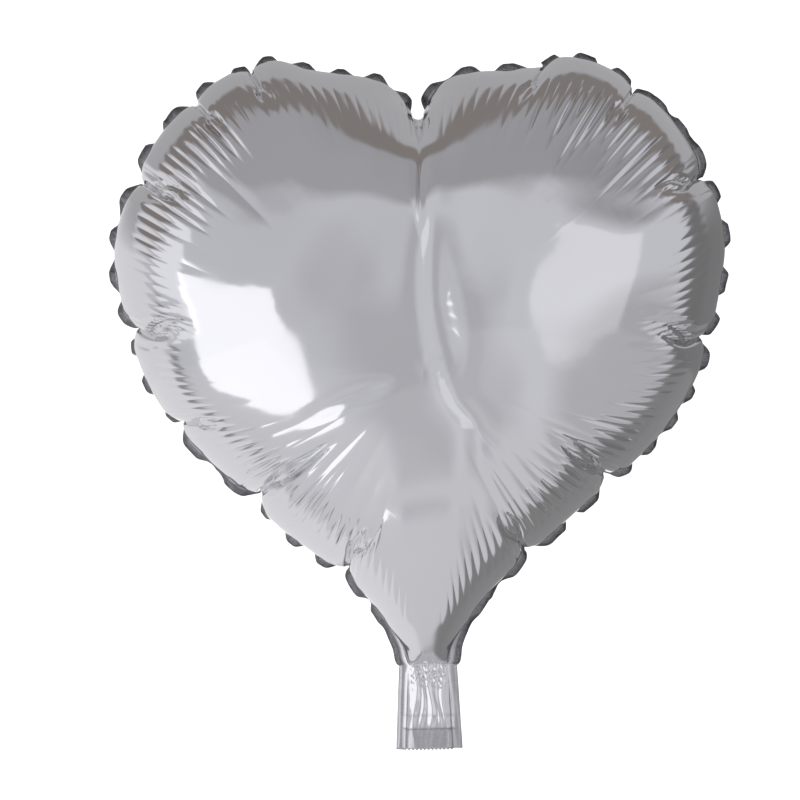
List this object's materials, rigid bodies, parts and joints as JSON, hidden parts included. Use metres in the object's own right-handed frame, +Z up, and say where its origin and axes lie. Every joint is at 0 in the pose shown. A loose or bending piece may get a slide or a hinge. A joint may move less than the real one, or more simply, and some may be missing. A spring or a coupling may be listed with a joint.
{
  "type": "heart-shaped foil balloon",
  "caption": "Inflated heart-shaped foil balloon with a welded seam, a fold-over filling tail and a self-sealing film valve.",
  "frame": {"origin": "middle of the neck crease, where the ribbon is tied and the tail folds", "axes": "+Z up to the heart's lobes, -Y out of the front panel, +X to the right seen from the front"},
  "size_m": [0.366, 0.2004, 0.408],
  "materials": {
    "foil": "silver metallised film, mirror bright with fine pleats along the seam",
    "valve_film": "clear polyethylene film",
    "release_ink": "matt heat-resistant print"
  },
  "bodies": {
    "balloon": {"body_front_panel": "foil", "body_back_panel": "foil"},
    "tail": {"tail_front_film": "foil", "tail_back_film": "foil", "valve_inlet_front": "valve_film", "valve_inlet_back": "valve_film", "valve_release_coat": "release_ink"},
    "front_flap": {"valve_flap_front": "valve_film"},
    "back_flap": {"valve_flap_back": "valve_film"}
  },
  "joints": [
    {"name": "tail_fold", "type": "hinge", "parent": "balloon", "child": "tail", "pos_m": [0, 0, 0], "axis": [1, 0, 0], "range_deg": [-90, 90]},
    {"name": "front_flap_open", "type": "hinge", "parent": "balloon", "child": "front_flap", "pos_m": [0, -0.00017, 0.0004], "axis": [1, 0, 0], "range_deg": [0, 4], "stiffness_Nm_per_rad": 0.0002},
    {"name": "back_flap_open", "type": "hinge", "parent": "balloon", "child": "back_flap", "pos_m": [0, 0.00017, 0.0004], "axis": [-1, 0, 0], "range_deg": [0, 4], "stiffness_Nm_per_rad": 0.0002}
  ],
  "couplings": [
    {"joint": "back_flap_open", "follows": "front_flap_open", "ratio": 1}
  ]
}
